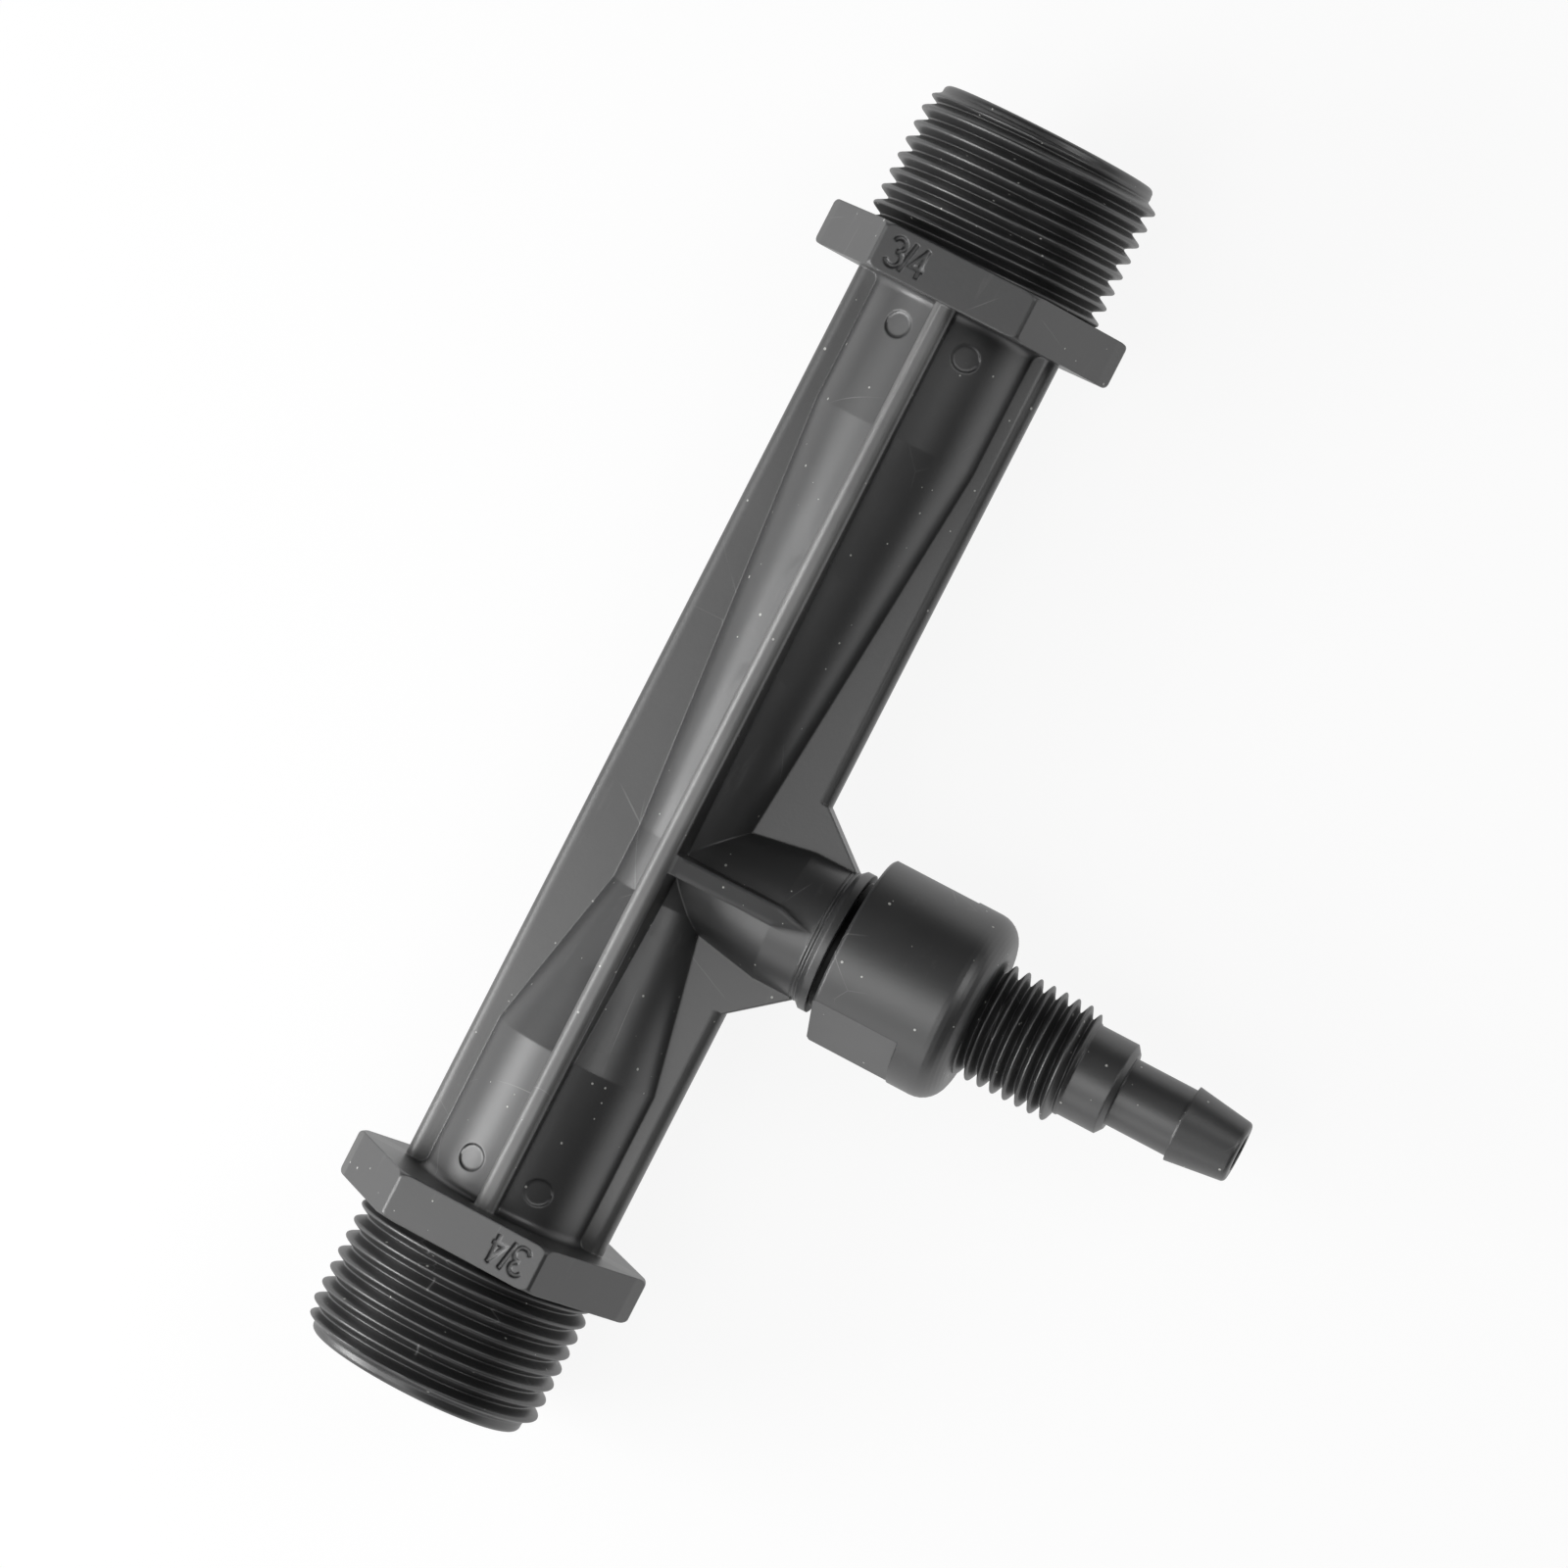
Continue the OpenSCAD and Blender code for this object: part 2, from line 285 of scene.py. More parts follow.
def copy_of(node, unwanted, cutters=()):
    """A bmesh of a CAD node, carved, without the faces whose centre, in millimetres, is unwanted."""
    solid = nodes[node].data
    bm = bmesh.new()
    bm.from_mesh(solid)
    bmesh.ops.remove_doubles(bm, verts=bm.verts, dist=WELD)
    if cutters:
        mesh = carved(plain_mesh("blank", bm), cutters)
        bm = bmesh.new()
        bm.from_mesh(mesh)
        bpy.data.meshes.remove(mesh)
    skin = BVHTree.FromPolygons([v.co for v in solid.vertices], [p.vertices for p in solid.polygons])
    tag = bm.faces.layers.int.new(FROM_SOLID)
    for face in bm.faces:
        spot, normal, index, away = skin.find_nearest(face.calc_center_median())
        same = away < SAME_PLACE and normal.dot(face.normal) > SAME_WAY
        face[tag] = index + 1 if same else CUT_FACE
    gone = [f for f in bm.faces if unwanted(f.calc_center_median() / MM)]
    bmesh.ops.delete(bm, geom=gone, context="FACES")
    return bm


def close_up(bm, middle):
    """Joins the new faces into one skin that looks outwards from the axis through middle."""
    tag = bm.faces.layers.int[FROM_SOLID]
    fresh = [f for f in bm.faces if f[tag] == THREAD_FACE]
    corners = list({v for f in fresh for v in f.verts})
    bmesh.ops.remove_doubles(bm, verts=corners, dist=THREAD_WELD)
    fresh = [f for f in bm.faces if f[tag] == THREAD_FACE]
    bmesh.ops.recalc_face_normals(bm, faces=fresh)
    outwards = 0.0
    for face in fresh:
        spot = face.calc_center_median()
        outwards += (spot - middle(spot)).normalized().dot(face.normal)
    if outwards < 0:
        bmesh.ops.reverse_faces(bm, faces=fresh)


def round_edge(centre_r, centre_along, size, first, last, steps=6):
    """Rings of a rounded edge, from one angle to another."""
    out = []
    for i in range(steps + 1):
        a = math.radians(first + (last - first) * i / steps)
        out.append((centre_along + size * math.sin(a), centre_r + size * math.cos(a)))
    return out


def swept_tube(path, normal, radius, sides=10):
    """A closed round bar along a flat path. All lengths are in metres."""
    bm = bmesh.new()
    rings = []
    for i, spot in enumerate(path):
        before = (spot - path[i - 1]).normalized() if i else (path[1] - spot).normalized()
        after = (path[i + 1] - spot).normalized() if i + 1 < len(path) else before
        way = (before + after).normalized()
        side = way.cross(normal) / max(0.5, way.dot(before))
        around = [side * math.cos(a) + normal * math.sin(a) for a in full_turn(sides)]
        rings.append([bm.verts.new(spot + step * radius) for step in around])
    for one, two in zip(rings, rings[1:]):
        bridge(bm, one, two)
    bm.faces.new(rings[0])
    bm.faces.new(rings[-1])
    bmesh.ops.recalc_face_normals(bm, faces=bm.faces)
    return plain_mesh("bar", bm)


def arc_points(x, y, radius, first, last, steps=12):
    turns = [math.radians(first + (last - first) * i / steps) for i in range(steps + 1)]
    return [(x + radius * math.cos(a), y + radius * math.sin(a)) for a in turns]


# Strokes of the size mark, as shares of its height: three, slash and four.
THREE_TOP = arc_points(0.21, 0.76, 0.22, 160, -90)
THREE_LOW = arc_points(0.21, 0.28, 0.26, 90, -160)
SLASH = [(0.54, -0.02), (0.74, 1.02)]
FOUR_LEG = [(1.16, 0.0), (1.16, 1.0)]
FOUR_ARM = [(1.2, 1.0), (0.84, 0.3), (1.3, 0.3)]
MARK_WIDTH = 1.3


def size_mark(x, y, turned):
    """Cutters for the pipe size, sunk into an upper flange flat. turned is 1 for upright, -1 for upside down."""
    up = Vector((0, 0, 1))
    for stroke in (THREE_TOP, THREE_LOW, SLASH, FOUR_LEG, FOUR_ARM):
        path = []
        for across, along in stroke:
            dx = (across - MARK_WIDTH / 2) * NUMERAL_HEIGHT * turned
            dy = (along - 0.5) * NUMERAL_HEIGHT * turned
            path.append(Vector((x + dx, y + dy, FLANGE_Z)) * MM)
        yield swept_tube(path, up, NUMERAL_STROKE_R * MM)


def pin_mark(x, y, sides=40, circles=4):
    """Cutter for the shallow round print of an ejector pin, whose floor follows the tube."""
    bm = bmesh.new()

    def spot(share, turn, depth):
        dx = x + PIN_MARK_R * share * math.cos(turn)
        dy = y + PIN_MARK_R * share * math.sin(turn)
        return Vector((dx, dy, math.sqrt((TUBE_R - depth) ** 2 - dx * dx))) * MM

    def circle(share, depth):
        return [bm.verts.new(spot(share, a, depth)) for a in full_turn(sides)]

    rings = [circle(1, -CUTTER_CLEAR)]
    rings += [circle(c / circles, PIN_MARK_DEPTH) for c in range(circles, 0, -1)]
    for one, two in zip(rings, rings[1:]):
        bridge(bm, one, two)
    floor, roof = bm.verts.new(spot(0, 0, PIN_MARK_DEPTH)), bm.verts.new(spot(0, 0, -CUTTER_CLEAR))
    for j in range(sides):
        k = (j + 1) % sides
        bm.faces.new((rings[-1][j], rings[-1][k], floor))
        bm.faces.new((rings[0][k], rings[0][j], roof))
    bmesh.ops.recalc_face_normals(bm, faces=bm.faces)
    return plain_mesh("pin", bm)


def corner_ring(y_end, inward, columns=144, steps=8):
    """Cutter that rounds a flange's six corners at one end. inward is the way into the flange, 1 or -1."""
    inner = FLANGE_CORNER_R - CORNER_ROUND
    clear_end, clear_side = RING_CLEAR
    outer = FLANGE_CORNER_R + clear_side
    profile = [(inner, -clear_end), (outer, -clear_end), (outer, CORNER_ROUND)]
    for i in range(steps + 1):
        a = math.pi / 2 * i / steps
        profile.append((inner + CORNER_ROUND * math.cos(a), CORNER_ROUND - CORNER_ROUND * math.sin(a)))
    bm = bmesh.new()
    rings = []
    for turn in full_turn(columns):
        spots = [on_flow(y_end + inward * depth, radius, turn) for radius, depth in profile]
        rings.append([bm.verts.new(spot) for spot in spots])
    for j, one in enumerate(rings):
        bridge(bm, one, rings[(j + 1) % columns])
    bmesh.ops.recalc_face_normals(bm, faces=bm.faces)
    return plain_mesh("ring", bm)


def add_ring(bm, along, columns=128):
    """A fine raised ring about the branch axis, sunk a little into the surface below it."""
    foot, top = RING_WIDTH / 2, RING_WIDTH / 4
    profile = ((-foot, -RING_HEIGHT), (-top, RING_HEIGHT), (top, RING_HEIGHT), (foot, -RING_HEIGHT))
    rings = []
    for dx, dr in profile:
        rings.append([bm.verts.new(on_branch(along + dx, BRANCH_R + dr, t)) for t in full_turn(columns)])
    for i, one in enumerate(rings):
        bridge(bm, one, rings[(i + 1) % len(rings)])


# Body: the solid's own skin with the mould's marks, and helical threads on both ends.
def in_end_threads(spot):
    out = math.hypot(spot.x, spot.z)
    beside_flanges = spot.y < INLET_FLANGE - FACE_SLACK or spot.y > OUTLET_THREAD + FACE_SLACK
    return out > MOUTH_R + MOUTH_SLACK and beside_flanges


INLET_MARK_Y = INLET_FLANGE + FLANGE_THICKNESS / 2
OUTLET_MARK_Y = OUTLET_FLANGE + FLANGE_THICKNESS / 2
marks = [*size_mark(NUMERAL_OFFSET, INLET_MARK_Y, -1), *size_mark(-NUMERAL_OFFSET, OUTLET_MARK_Y, 1)]
for mark_y in (INLET_FLANGE + FLANGE_THICKNESS + PIN_MARK_FROM_FLANGE, OUTLET_FLANGE - PIN_MARK_FROM_FLANGE):
    marks += [pin_mark(-PIN_MARK_X, mark_y), pin_mark(PIN_MARK_X, mark_y)]
for flange_y in (INLET_FLANGE, OUTLET_FLANGE):
    marks += [corner_ring(flange_y, 1), corner_ring(flange_y + FLANGE_THICKNESS, -1)]
body_mesh = copy_of("venturi_body", in_end_threads, marks)
inlet_rim = [(0.0, MOUTH_R)] + round_edge(LEAD_R - LEAD_ROUND, LEAD_ROUND, LEAD_ROUND, -90, 0)
add_thread(
    body_mesh, on_flow, LEAD_LENGTH - FADE_BEFORE, INLET_FLANGE + THREAD_SEAT, INLET_CREST,
    THREAD_PITCH, THREAD_ROOT_R, THREAD_R,
    lambda y: smooth_step(LEAD_LENGTH - FADE_BEFORE, LEAD_LENGTH + FADE_AFTER, y),
    inlet_rim, [(INLET_FLANGE + THREAD_SEAT, THREAD_R + THREAD_SKIRT)])
outlet_rim = round_edge(LEAD_R - LEAD_ROUND, TOTAL_LENGTH - LEAD_ROUND, LEAD_ROUND, 0, 90)
outlet_rim += [(TOTAL_LENGTH, MOUTH_R)]
OUTLET_LEAD = TOTAL_LENGTH - LEAD_LENGTH
add_thread(
    body_mesh, on_flow, OUTLET_THREAD - THREAD_SEAT, OUTLET_LEAD + FADE_BEFORE, OUTLET_CREST,
    THREAD_PITCH, THREAD_ROOT_R, THREAD_R,
    lambda y: smooth_step(OUTLET_LEAD + FADE_BEFORE, OUTLET_LEAD - FADE_AFTER, y),
    [(OUTLET_THREAD - THREAD_SEAT, THREAD_R + THREAD_SKIRT)], outlet_rim)
for distance in RING_FROM_COLLAR:
    add_ring(body_mesh, COLLAR_START - distance)
close_up(body_mesh, lambda spot: Vector((0, spot.y, 0)))
body = mesh_object("moulded_body", body_mesh, nodes["venturi_body"].data)
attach(body, "injector")
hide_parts("venturi_body")


# Cap: the solid's own skin, with a helical thread on the nipple.
def in_nipple_thread(spot):
    out = math.hypot(spot.y - BRANCH_Y, spot.z)
    along_thread = CAP_END + FACE_SLACK < spot.x < NIPPLE_THREAD_END + FACE_SLACK
    return out > NIPPLE_PLAIN_R + PLAIN_SLACK and along_thread


cap_mesh = copy_of("suction_cap", in_nipple_thread)
add_thread(
    cap_mesh, on_branch, CAP_END - THREAD_SEAT, NIPPLE_THREAD_END - NIPPLE_FADE[0], NIPPLE_CREST,
    NIPPLE_PITCH, NIPPLE_ROOT_R, NIPPLE_R,
    lambda x: smooth_step(NIPPLE_THREAD_END - NIPPLE_FADE[0], NIPPLE_THREAD_END - NIPPLE_FADE[1], x),
    [(CAP_END - THREAD_SEAT, NIPPLE_R + THREAD_SKIRT)], [(NIPPLE_THREAD_END, NIPPLE_PLAIN_R)], columns=112)
close_up(cap_mesh, lambda spot: Vector((spot.x, BRANCH_Y * MM, 0)))
cap = mesh_object("moulded_cap", cap_mesh, nodes["suction_cap"].data)
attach(cap, "injector")
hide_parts("suction_cap")


# Spring: smooth wire with closed end turns.
def spring_wire(sides=16, steps_each=48):
    bm = bmesh.new()
    closed = CLOSED_TURN * WIRE_R
    open_rise = SPRING_HIGH - SPRING_LOW - 2 * closed
    rings = []
    for i in range(SPRING_TURNS * steps_each + 1):
        turned = i / steps_each
        rise = closed * min(1, turned) + closed * max(0, turned - SPRING_TURNS + 1)
        rise += open_rise * min(1, max(0, (turned - 1) / (SPRING_TURNS - 2)))
        ring = []
        for a in full_turn(sides):
            radius = SPRING_R + WIRE_R * math.cos(a)
            along = SPRING_LOW + rise + WIRE_R * math.sin(a)
            ring.append(bm.verts.new(on_branch(along, radius, math.tau * turned)))
        rings.append(ring)
    for one, two in zip(rings, rings[1:]):
        bridge(bm, one, two)
    bm.faces.new(rings[0])
    bm.faces.new(rings[-1])
    bmesh.ops.recalc_face_normals(bm, faces=bm.faces)
    return bm


spring = mesh_object("coiled_spring", spring_wire(), smooth_angle=50)
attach(spring, "injector")
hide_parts("check_spring")
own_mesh(spring)


def node_maker(tree):
    """A short way to add nodes: make(type, settings, inputs). An input is named, or numbered as i0 and so on."""
    def make(kind, settings=None, **inputs):
        node = tree.nodes.new(kind)
        for name, value in (settings or {}).items():
            setattr(node, name, value)
        for name, value in inputs.items():
            numbered = name[0] == "i" and name[1:].isdigit()
            socket = node.inputs[int(name[1:]) if numbered else name]
            if isinstance(value, bpy.types.NodeSocket):
                tree.links.new(value, socket)
            else:
                socket.default_value = value
        return node
    return make


def new_material(name):
    material = bpy.data.materials.new(name)
    material.use_nodes = True
    material.node_tree.nodes.clear()
    return material, node_maker(material.node_tree)


def calc(make, operation, *values):
    """Result of a math node on sockets or plain numbers."""
    inputs = {f"i{k}": value for k, value in enumerate(values)}
    return make("ShaderNodeMath", {"operation": operation}, **inputs).outputs[0]


def ranged(make, value, from_low, from_high, to_low, to_high):
    limits = {"From Min": from_low, "From Max": from_high, "To Min": to_low, "To Max": to_high}
    return make("ShaderNodeMapRange", Value=value, **limits).outputs[0]


def within(make, value, low, high):
    """1 where the value lies between two places, in millimetres, and 0 elsewhere."""
    return calc(make, "COMPARE", value, (low + high) / 2 * MM, (high - low) / 2 * MM)


def blended(make, share, one, two):
    """Colour one turning into colour two by share. Each colour is a socket or a plain value."""
    return make("ShaderNodeMix", {"data_type": "RGBA"}, Factor=share, i6=one, i7=two).outputs[2]


def noise(make, place, scale, detail, roughness=0.5):
    node = make("ShaderNodeTexNoise", Vector=place, Scale=scale, Detail=detail, Roughness=roughness)
    return node.outputs["Fac"]


BLACK = (0.015, 0.015, 0.0155, 1)
WORN_BLACK = (0.028, 0.0285, 0.029, 1)
# Painted shade: the threads' darker black stands in for the shade in their deep grooves.
THREAD_SHADE_BLACK = (0.01, 0.01, 0.0105, 1)
# Painted shade: near black for the deep gap under the cap's edge.
GAP_SHADE_BLACK = (0.004, 0.004, 0.004, 1)
DUST_GREY = (0.085, 0.085, 0.083, 1)
# Painted highlight on the crowns of the upright ribs.
CROWN_HIGHLIGHT_GREY = (0.13, 0.13, 0.128, 1)
# Painted highlight: the pale grey of the thin flash lines on the inlet thread, which stands in for their lit
# edges.
FLASH_HIGHLIGHT_GREY = (0.13, 0.13, 0.13, 1)
SCUFF_GREY = (0.14, 0.14, 0.14, 1)
SCRATCH_GREY = (0.2, 0.2, 0.2, 1)
SPECK_GREY = (0.42, 0.42, 0.4, 1)

# Where the body is dusty, where its rib crowns take a painted highlight and where its fins are, in millimetres
# from the flow axis or along it.
SIDE_RIB_EDGE = (1.5, 1.9)
DUST_FADES = (30.0, 60.0)
CROWN_EDGE = (10.4, 10.9)
CROWN_TOP = 11.8
CROWN_HALF_WIDTH = 1.4
FIN_ALONG = (1.9, 17.1)
FIN_HALF_WIDTH = 1.25
FIN_FOOT = 6.5

# Radius of the edges as they are lit, in millimetres.
MOULDED_EDGE = 0.28
THREAD_EDGE = 0.03
FIN_EDGE = 1.0


def rib_dust_and_painted_light(make, place, mottle, colour):
    """Dust on the side ribs, a painted highlight on the crown of the upright ribs, and painted shade, dark and
    with little sheen, in the gap under the cap's edge.

    Gives the colour and how strongly the surface shines.
    """
    x, y, z = make("ShaderNodeSeparateXYZ", Vector=place).outputs
    height = calc(make, "ABSOLUTE", z)
    aside = calc(make, "ABSOLUTE", x)
    patchy = ranged(make, mottle, 0.3, 0.7, 0.4, 1.0)
    flat = ranged(make, height, SIDE_RIB_EDGE[0] * MM, SIDE_RIB_EDGE[1] * MM, 1.0, 0.0)
    fading = ranged(make, y, DUST_FADES[0] * MM, DUST_FADES[1] * MM, 1.0, 0.3)
    dusted = calc(make, "MULTIPLY", calc(make, "MULTIPLY", flat, patchy), fading)
    colour = blended(make, dusted, colour, DUST_GREY)
    # Painted highlight: a paler grey on the crowns of the upright ribs, in patches, where light falls on their
    # rounded tops.
    crown = ranged(make, height, CROWN_EDGE[0] * MM, CROWN_EDGE[1] * MM, 0.0, 1.0)
    below = calc(make, "LESS_THAN", height, CROWN_TOP * MM)
    middle = calc(make, "LESS_THAN", aside, CROWN_HALF_WIDTH * MM)
    crown_highlight = calc(make, "MULTIPLY", calc(make, "MULTIPLY", crown, below), middle)
    colour = blended(make, calc(make, "MULTIPLY", crown_highlight, patchy), colour, CROWN_HIGHLIGHT_GREY)
    # Painted shade: the gap under the cap's edge is made near black and loses most of its sheen.
    painted_gap_shade = calc(make, "GREATER_THAN", x, GAP_START * MM)
    return blended(make, painted_gap_shade, colour, GAP_SHADE_BLACK), ranged(make, painted_gap_shade, 0.0, 1.0, 1.0, 0.1)


def fin_rounding(make, place, edge):
    """Radius of the rounded edges: wider on the two fins of the branch than elsewhere."""
    x, y, z = make("ShaderNodeSeparateXYZ", Vector=place).outputs
    above = calc(make, "GREATER_THAN", calc(make, "ABSOLUTE", z), FIN_FOOT * MM)
    across = within(make, y, BRANCH_Y - FIN_HALF_WIDTH, BRANCH_Y + FIN_HALF_WIDTH)
    on_fin = calc(make, "MULTIPLY", calc(make, "MULTIPLY", across, within(make, x, *FIN_ALONG)), above)
    return ranged(make, on_fin, 0.0, 1.0, edge * MM, FIN_EDGE * MM)


def flash_highlight_lines(make, place, colour):
    """Thin pale lines across two grooves of the inlet thread, where the mould's joint left flash: a painted
    highlight that stands in for the lit edge of the flash.
    """
    x, y, z = make("ShaderNodeSeparateXYZ", Vector=place).outputs
    above = calc(make, "GREATER_THAN", z, 0.0)
    for flash_x, low, high in FLASH_LINES:
        across = within(make, x, flash_x - FLASH_WIDTH / 2, flash_x + FLASH_WIDTH / 2)
        share = calc(make, "MULTIPLY", calc(make, "MULTIPLY", across, within(make, y, low, high)), above)
        colour = blended(make, share, colour, FLASH_HIGHLIGHT_GREY)
    return colour


def specks_of_dust(make, place):
    """1 on small scattered specks of different sizes, and 0 elsewhere."""
    cells = make("ShaderNodeTexVoronoi", {"feature": "F1"}, Vector=place, Scale=700.0)
    pick = make("ShaderNodeSeparateColor", Color=cells.outputs["Color"])
    size = ranged(make, pick.outputs["Green"], 0.0, 1.0, 0.03, 0.11)
    near = calc(make, "LESS_THAN", cells.outputs["Distance"], size)
    return calc(make, "MULTIPLY", near, calc(make, "GREATER_THAN", pick.outputs["Red"], 0.5))


def fine_scratches(make, place):
    """Share of scratch: thin straight lines that come and go."""
    cells = make("ShaderNodeTexVoronoi", {"feature": "DISTANCE_TO_EDGE"}, Vector=place, Scale=55.0)
    thin = calc(make, "LESS_THAN", cells.outputs["Distance"], 0.0022)
    return calc(make, "MULTIPLY", thin, ranged(make, noise(make, place, 110.0, 2.0), 0.55, 0.7, 0.0, 0.5))


def moulded_plastic(name, dark, light, seed, edge, ribbed=False, flashed=False):
    """Satin black moulding: fine grain, patchy gloss, scuffs, scratches, specks of dust and softened edges.

    ribbed adds the body's dust, the painted highlight on its rib crowns, the painted shade in the gap under the
    cap and the wider rounding of its fins, and flashed the painted highlights of flash on its thread.
    """
    material, make = new_material(name)
    place = make("ShaderNodeTexCoord").outputs["Object"]
    shifted = make("ShaderNodeMapping", Vector=place, Location=(seed, seed * 0.7, seed * 1.3)).outputs[0]
    patches = noise(make, shifted, 70.0, 4.0, 0.6)
    grain = noise(make, shifted, 2600.0, 3.0, 0.6)
    long_way = make("ShaderNodeMapping", Vector=shifted, Scale=(420.0, 60.0, 420.0)).outputs[0]
    scuff = ranged(make, noise(make, long_way, 1.0, 5.0, 0.65), 0.62, 0.8, 0.0, 1.0)
    colour = blended(make, patches, dark, light)
    shine, rounding = 1.0, edge * MM
    if ribbed:
        # Dust, a painted highlight on the rib crowns and painted shade in the gap under the cap.
        colour, shine = rib_dust_and_painted_light(make, place, patches, colour)
        rounding = fin_rounding(make, place, edge)
    if flashed:
        colour = flash_highlight_lines(make, place, colour)
    colour = blended(make, calc(make, "MULTIPLY", scuff, 0.3), colour, SCUFF_GREY)
    colour = blended(make, fine_scratches(make, shifted), colour, SCRATCH_GREY)
    colour = blended(make, specks_of_dust(make, shifted), colour, SPECK_GREY)
    gloss = ranged(make, patches, 0.0, 1.0, 0.36, 0.48)
    soft = make("ShaderNodeBevel", {"samples": 6}, Radius=rounding).outputs[0]
    bump = make("ShaderNodeBump", Height=grain, Strength=0.12, Distance=0.00006, Normal=soft).outputs[0]
    surface = {"Base Color": colour, "Roughness": gloss, "IOR": 1.55, "Specular IOR Level": shine, "Normal": bump}
    shader = make("ShaderNodeBsdfPrincipled", **surface)
    make("ShaderNodeOutputMaterial", Surface=shader.outputs[0])
    return material


def fine_finish(name, dark, light, rough, metallic, cells, stretch):
    """A small part's finish: two close tones and a fine relief, drawn out along the branch axis by stretch."""
    material, make = new_material(name)
    place = make("ShaderNodeTexCoord").outputs["Object"]
    drawn = make("ShaderNodeMapping", Vector=place, Scale=(1 / stretch, 1.0, 1.0)).outputs[0]
    mottle = noise(make, drawn, cells, 4.0, 0.6)
    gloss = ranged(make, mottle, 0.0, 1.0, *rough)
    bump = make("ShaderNodeBump", Height=mottle, Strength=0.15, Distance=0.00003).outputs[0]
    tone = blended(make, mottle, dark, light)
    surface = {"Base Color": tone, "Roughness": gloss, "Metallic": metallic, "Normal": bump}
    shader = make("ShaderNodeBsdfPrincipled", **surface)
    make("ShaderNodeOutputMaterial", Surface=shader.outputs[0])
    return material


def dress(obj, *materials):
    """Gives an object its materials. Clearing resets the faces' choice, so an empty list is left alone."""
    if obj.data.materials:
        obj.data.materials.clear()
    for material in materials:
        obj.data.materials.append(material)


CAP_SEED = 3.1
# The threads of body and cap take a darker black than the rest of the moulding: painted shade for their deep
# grooves.
dress(body, moulded_plastic("black_moulding", BLACK, WORN_BLACK, 0.0, MOULDED_EDGE, ribbed=True),
      moulded_plastic("black_threads", THREAD_SHADE_BLACK, BLACK, 0.0, THREAD_EDGE, flashed=True))
dress(cap, moulded_plastic("black_cap_moulding", BLACK, WORN_BLACK, CAP_SEED, MOULDED_EDGE),
      moulded_plastic("black_cap_thread", THREAD_SHADE_BLACK, BLACK, CAP_SEED, THREAD_EDGE))
dress(spring, fine_finish(
    "spring_wire", (0.5, 0.51, 0.53, 1), (0.72, 0.73, 0.75, 1), (0.22, 0.38), 1.0, 3000.0, 6.0))
dress(nodes["check_ball"], fine_finish(
    "white_ball", (0.72, 0.72, 0.68, 1), (0.82, 0.82, 0.79, 1), (0.22, 0.32), 0.0, 400.0, 1.0))
dress(nodes["cap_seal"], fine_finish(
    "black_rubber", (0.012, 0.012, 0.012, 1), (0.028, 0.028, 0.028, 1), (0.62, 0.8), 0.0, 2200.0, 1.0))

# The photograph's own standpoint, in metres, drawn closer by a longer lens.
EYE = Vector((0.1097, 0.1106, 0.7))
AIM = Vector((0.0060, 0.0725, 0.0))
PICTURE_UP = Vector((-0.461, 0.887, 0.0))
LENS = 158
SENSOR = 36


def camera():
    data = bpy.data.cameras.new("camera")
    data.lens = LENS
    data.sensor_width = SENSOR
    data.clip_start = 0.01
    obj = link(bpy.data.objects.new("camera", data))
    back = (EYE - AIM).normalized()
    right = PICTURE_UP.cross(back).normalized()
    true_up = back.cross(right)
    obj.matrix_world = Matrix((
        (right.x, true_up.x, back.x, EYE.x),
        (right.y, true_up.y, back.y, EYE.y),
        (right.z, true_up.z, back.z, EYE.z),
        (0, 0, 0, 1),
    ))
    scene.camera = obj


FLOOR_SIZE = 30.0
FLOOR_GAP = 0.00002
FLOOR_WHITE = 0.9
PAPER = (0.86, 0.86, 0.86, 1)
WHITE = (1, 1, 1, 1)


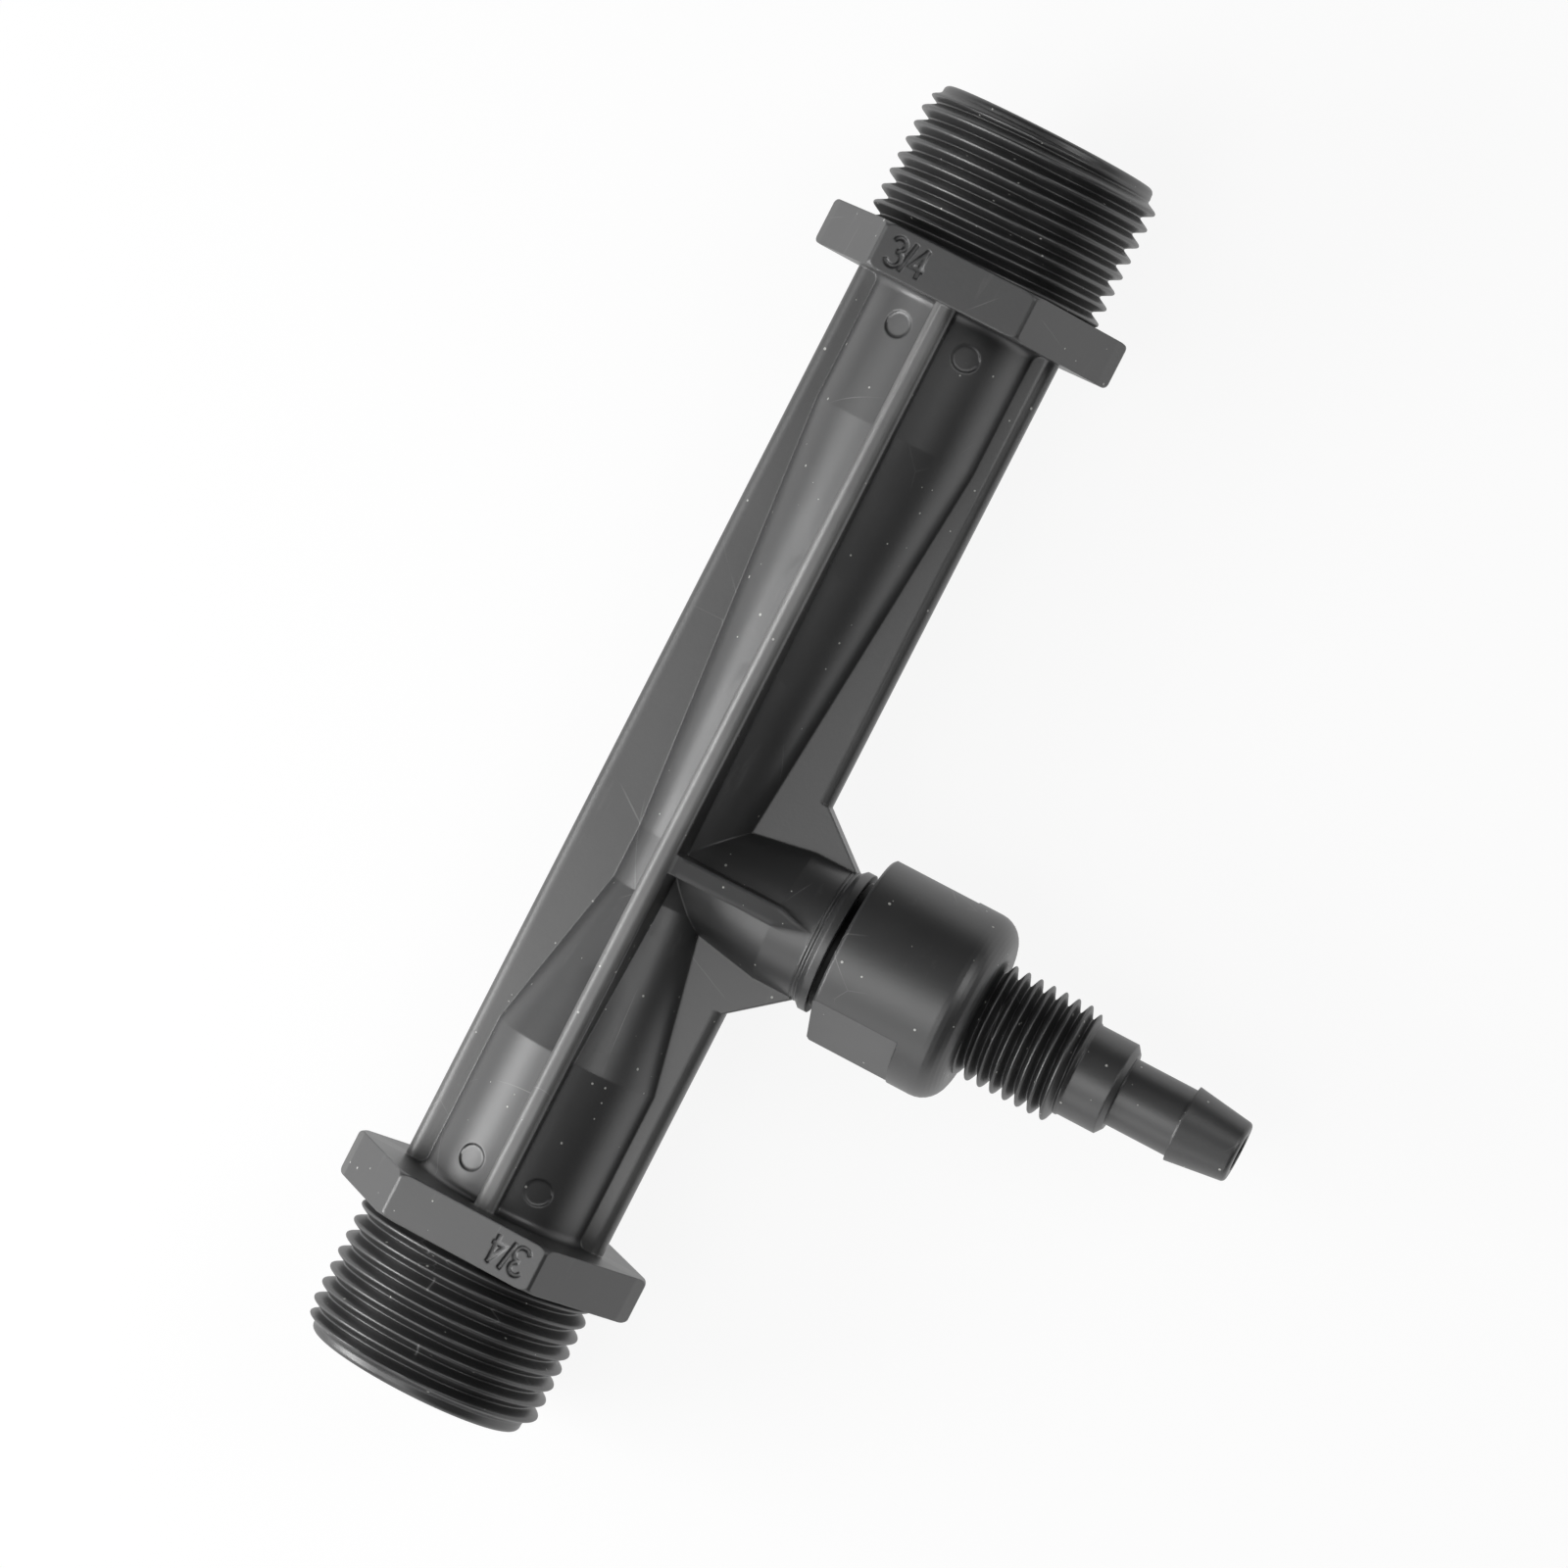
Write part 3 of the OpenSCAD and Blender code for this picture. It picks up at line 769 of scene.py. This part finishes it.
def white_floor():
    """White paper under the object: it shows white, reflects white and keeps a faint shadow."""
    bm = bmesh.new()
    bmesh.ops.create_grid(bm, x_segments=2, y_segments=2, size=FLOOR_SIZE)
    mesh = plain_mesh("floor", bm)
    obj = link(bpy.data.objects.new("floor", mesh))
    obj.location = (0.03, 0.07, -FLANGE_Z * MM - FLOOR_GAP)
    material, make = new_material("white_paper")
    path = make("ShaderNodeLightPath").outputs
    seen = calc(make, "MAXIMUM", path["Is Camera Ray"], path["Is Glossy Ray"])
    seen = calc(make, "MAXIMUM", seen, path["Is Transmission Ray"])
    share = calc(make, "MULTIPLY", seen, FLOOR_WHITE)
    paper = make("ShaderNodeBsdfDiffuse", Color=PAPER).outputs[0]
    glow = make("ShaderNodeEmission", Color=WHITE, Strength=1.0).outputs[0]
    mix = make("ShaderNodeMixShader", i0=share, i1=paper, i2=glow).outputs[0]
    make("ShaderNodeOutputMaterial", Surface=mix)
    mesh.materials.append(material)


WORLD_STRENGTH = 0.03


def surroundings():
    world = bpy.data.worlds.new("studio")
    scene.world = world
    world.use_nodes = True
    world.node_tree.nodes.clear()
    make = node_maker(world.node_tree)
    dim = make("ShaderNodeBackground", Color=WHITE, Strength=WORLD_STRENGTH).outputs[0]
    make("ShaderNodeOutputWorld", Surface=dim)


# Lamps: name, place in metres, width and height in metres, power in watts. All look at the object's middle.
MIDDLE = Vector((0.02, 0.07, 0.0))
PANEL = 0.45
LAMPS = (
    ("near_window", (-0.3, -0.12, 0.16), 0.25, 0.2, 1.43),
    ("ceiling", (-0.15, -0.22, 0.86), PANEL, PANEL, 2.0),
    ("left_wall", (-0.556, 0.02, 0.689), PANEL, PANEL, 1.31),
    ("low_left_wall", (-0.814, 0.07, 0.337), PANEL, PANEL, 0.69),
    ("front_wall", (0.02, -0.764, 0.337), PANEL, PANEL, 1.2),
    ("high_front", (0.02, -0.506, 0.689), PANEL, PANEL, 0.48),
    ("far_wall", (0.507, 0.479, 0.636), PANEL, PANEL, 1.95),
)


def lamp(name, spot, wide, high, watts):
    data = bpy.data.lights.new(name, "AREA")
    data.shape = "RECTANGLE"
    data.size = wide
    data.size_y = high
    data.energy = watts
    obj = link(bpy.data.objects.new(name, data))
    obj.location = spot
    obj.rotation_mode = "QUATERNION"
    obj.rotation_quaternion = (MIDDLE - Vector(spot)).to_track_quat("-Z", "Y")


camera()
white_floor()
surroundings()
for settings in LAMPS:
    lamp(*settings)

scene.view_settings.view_transform = "Standard"
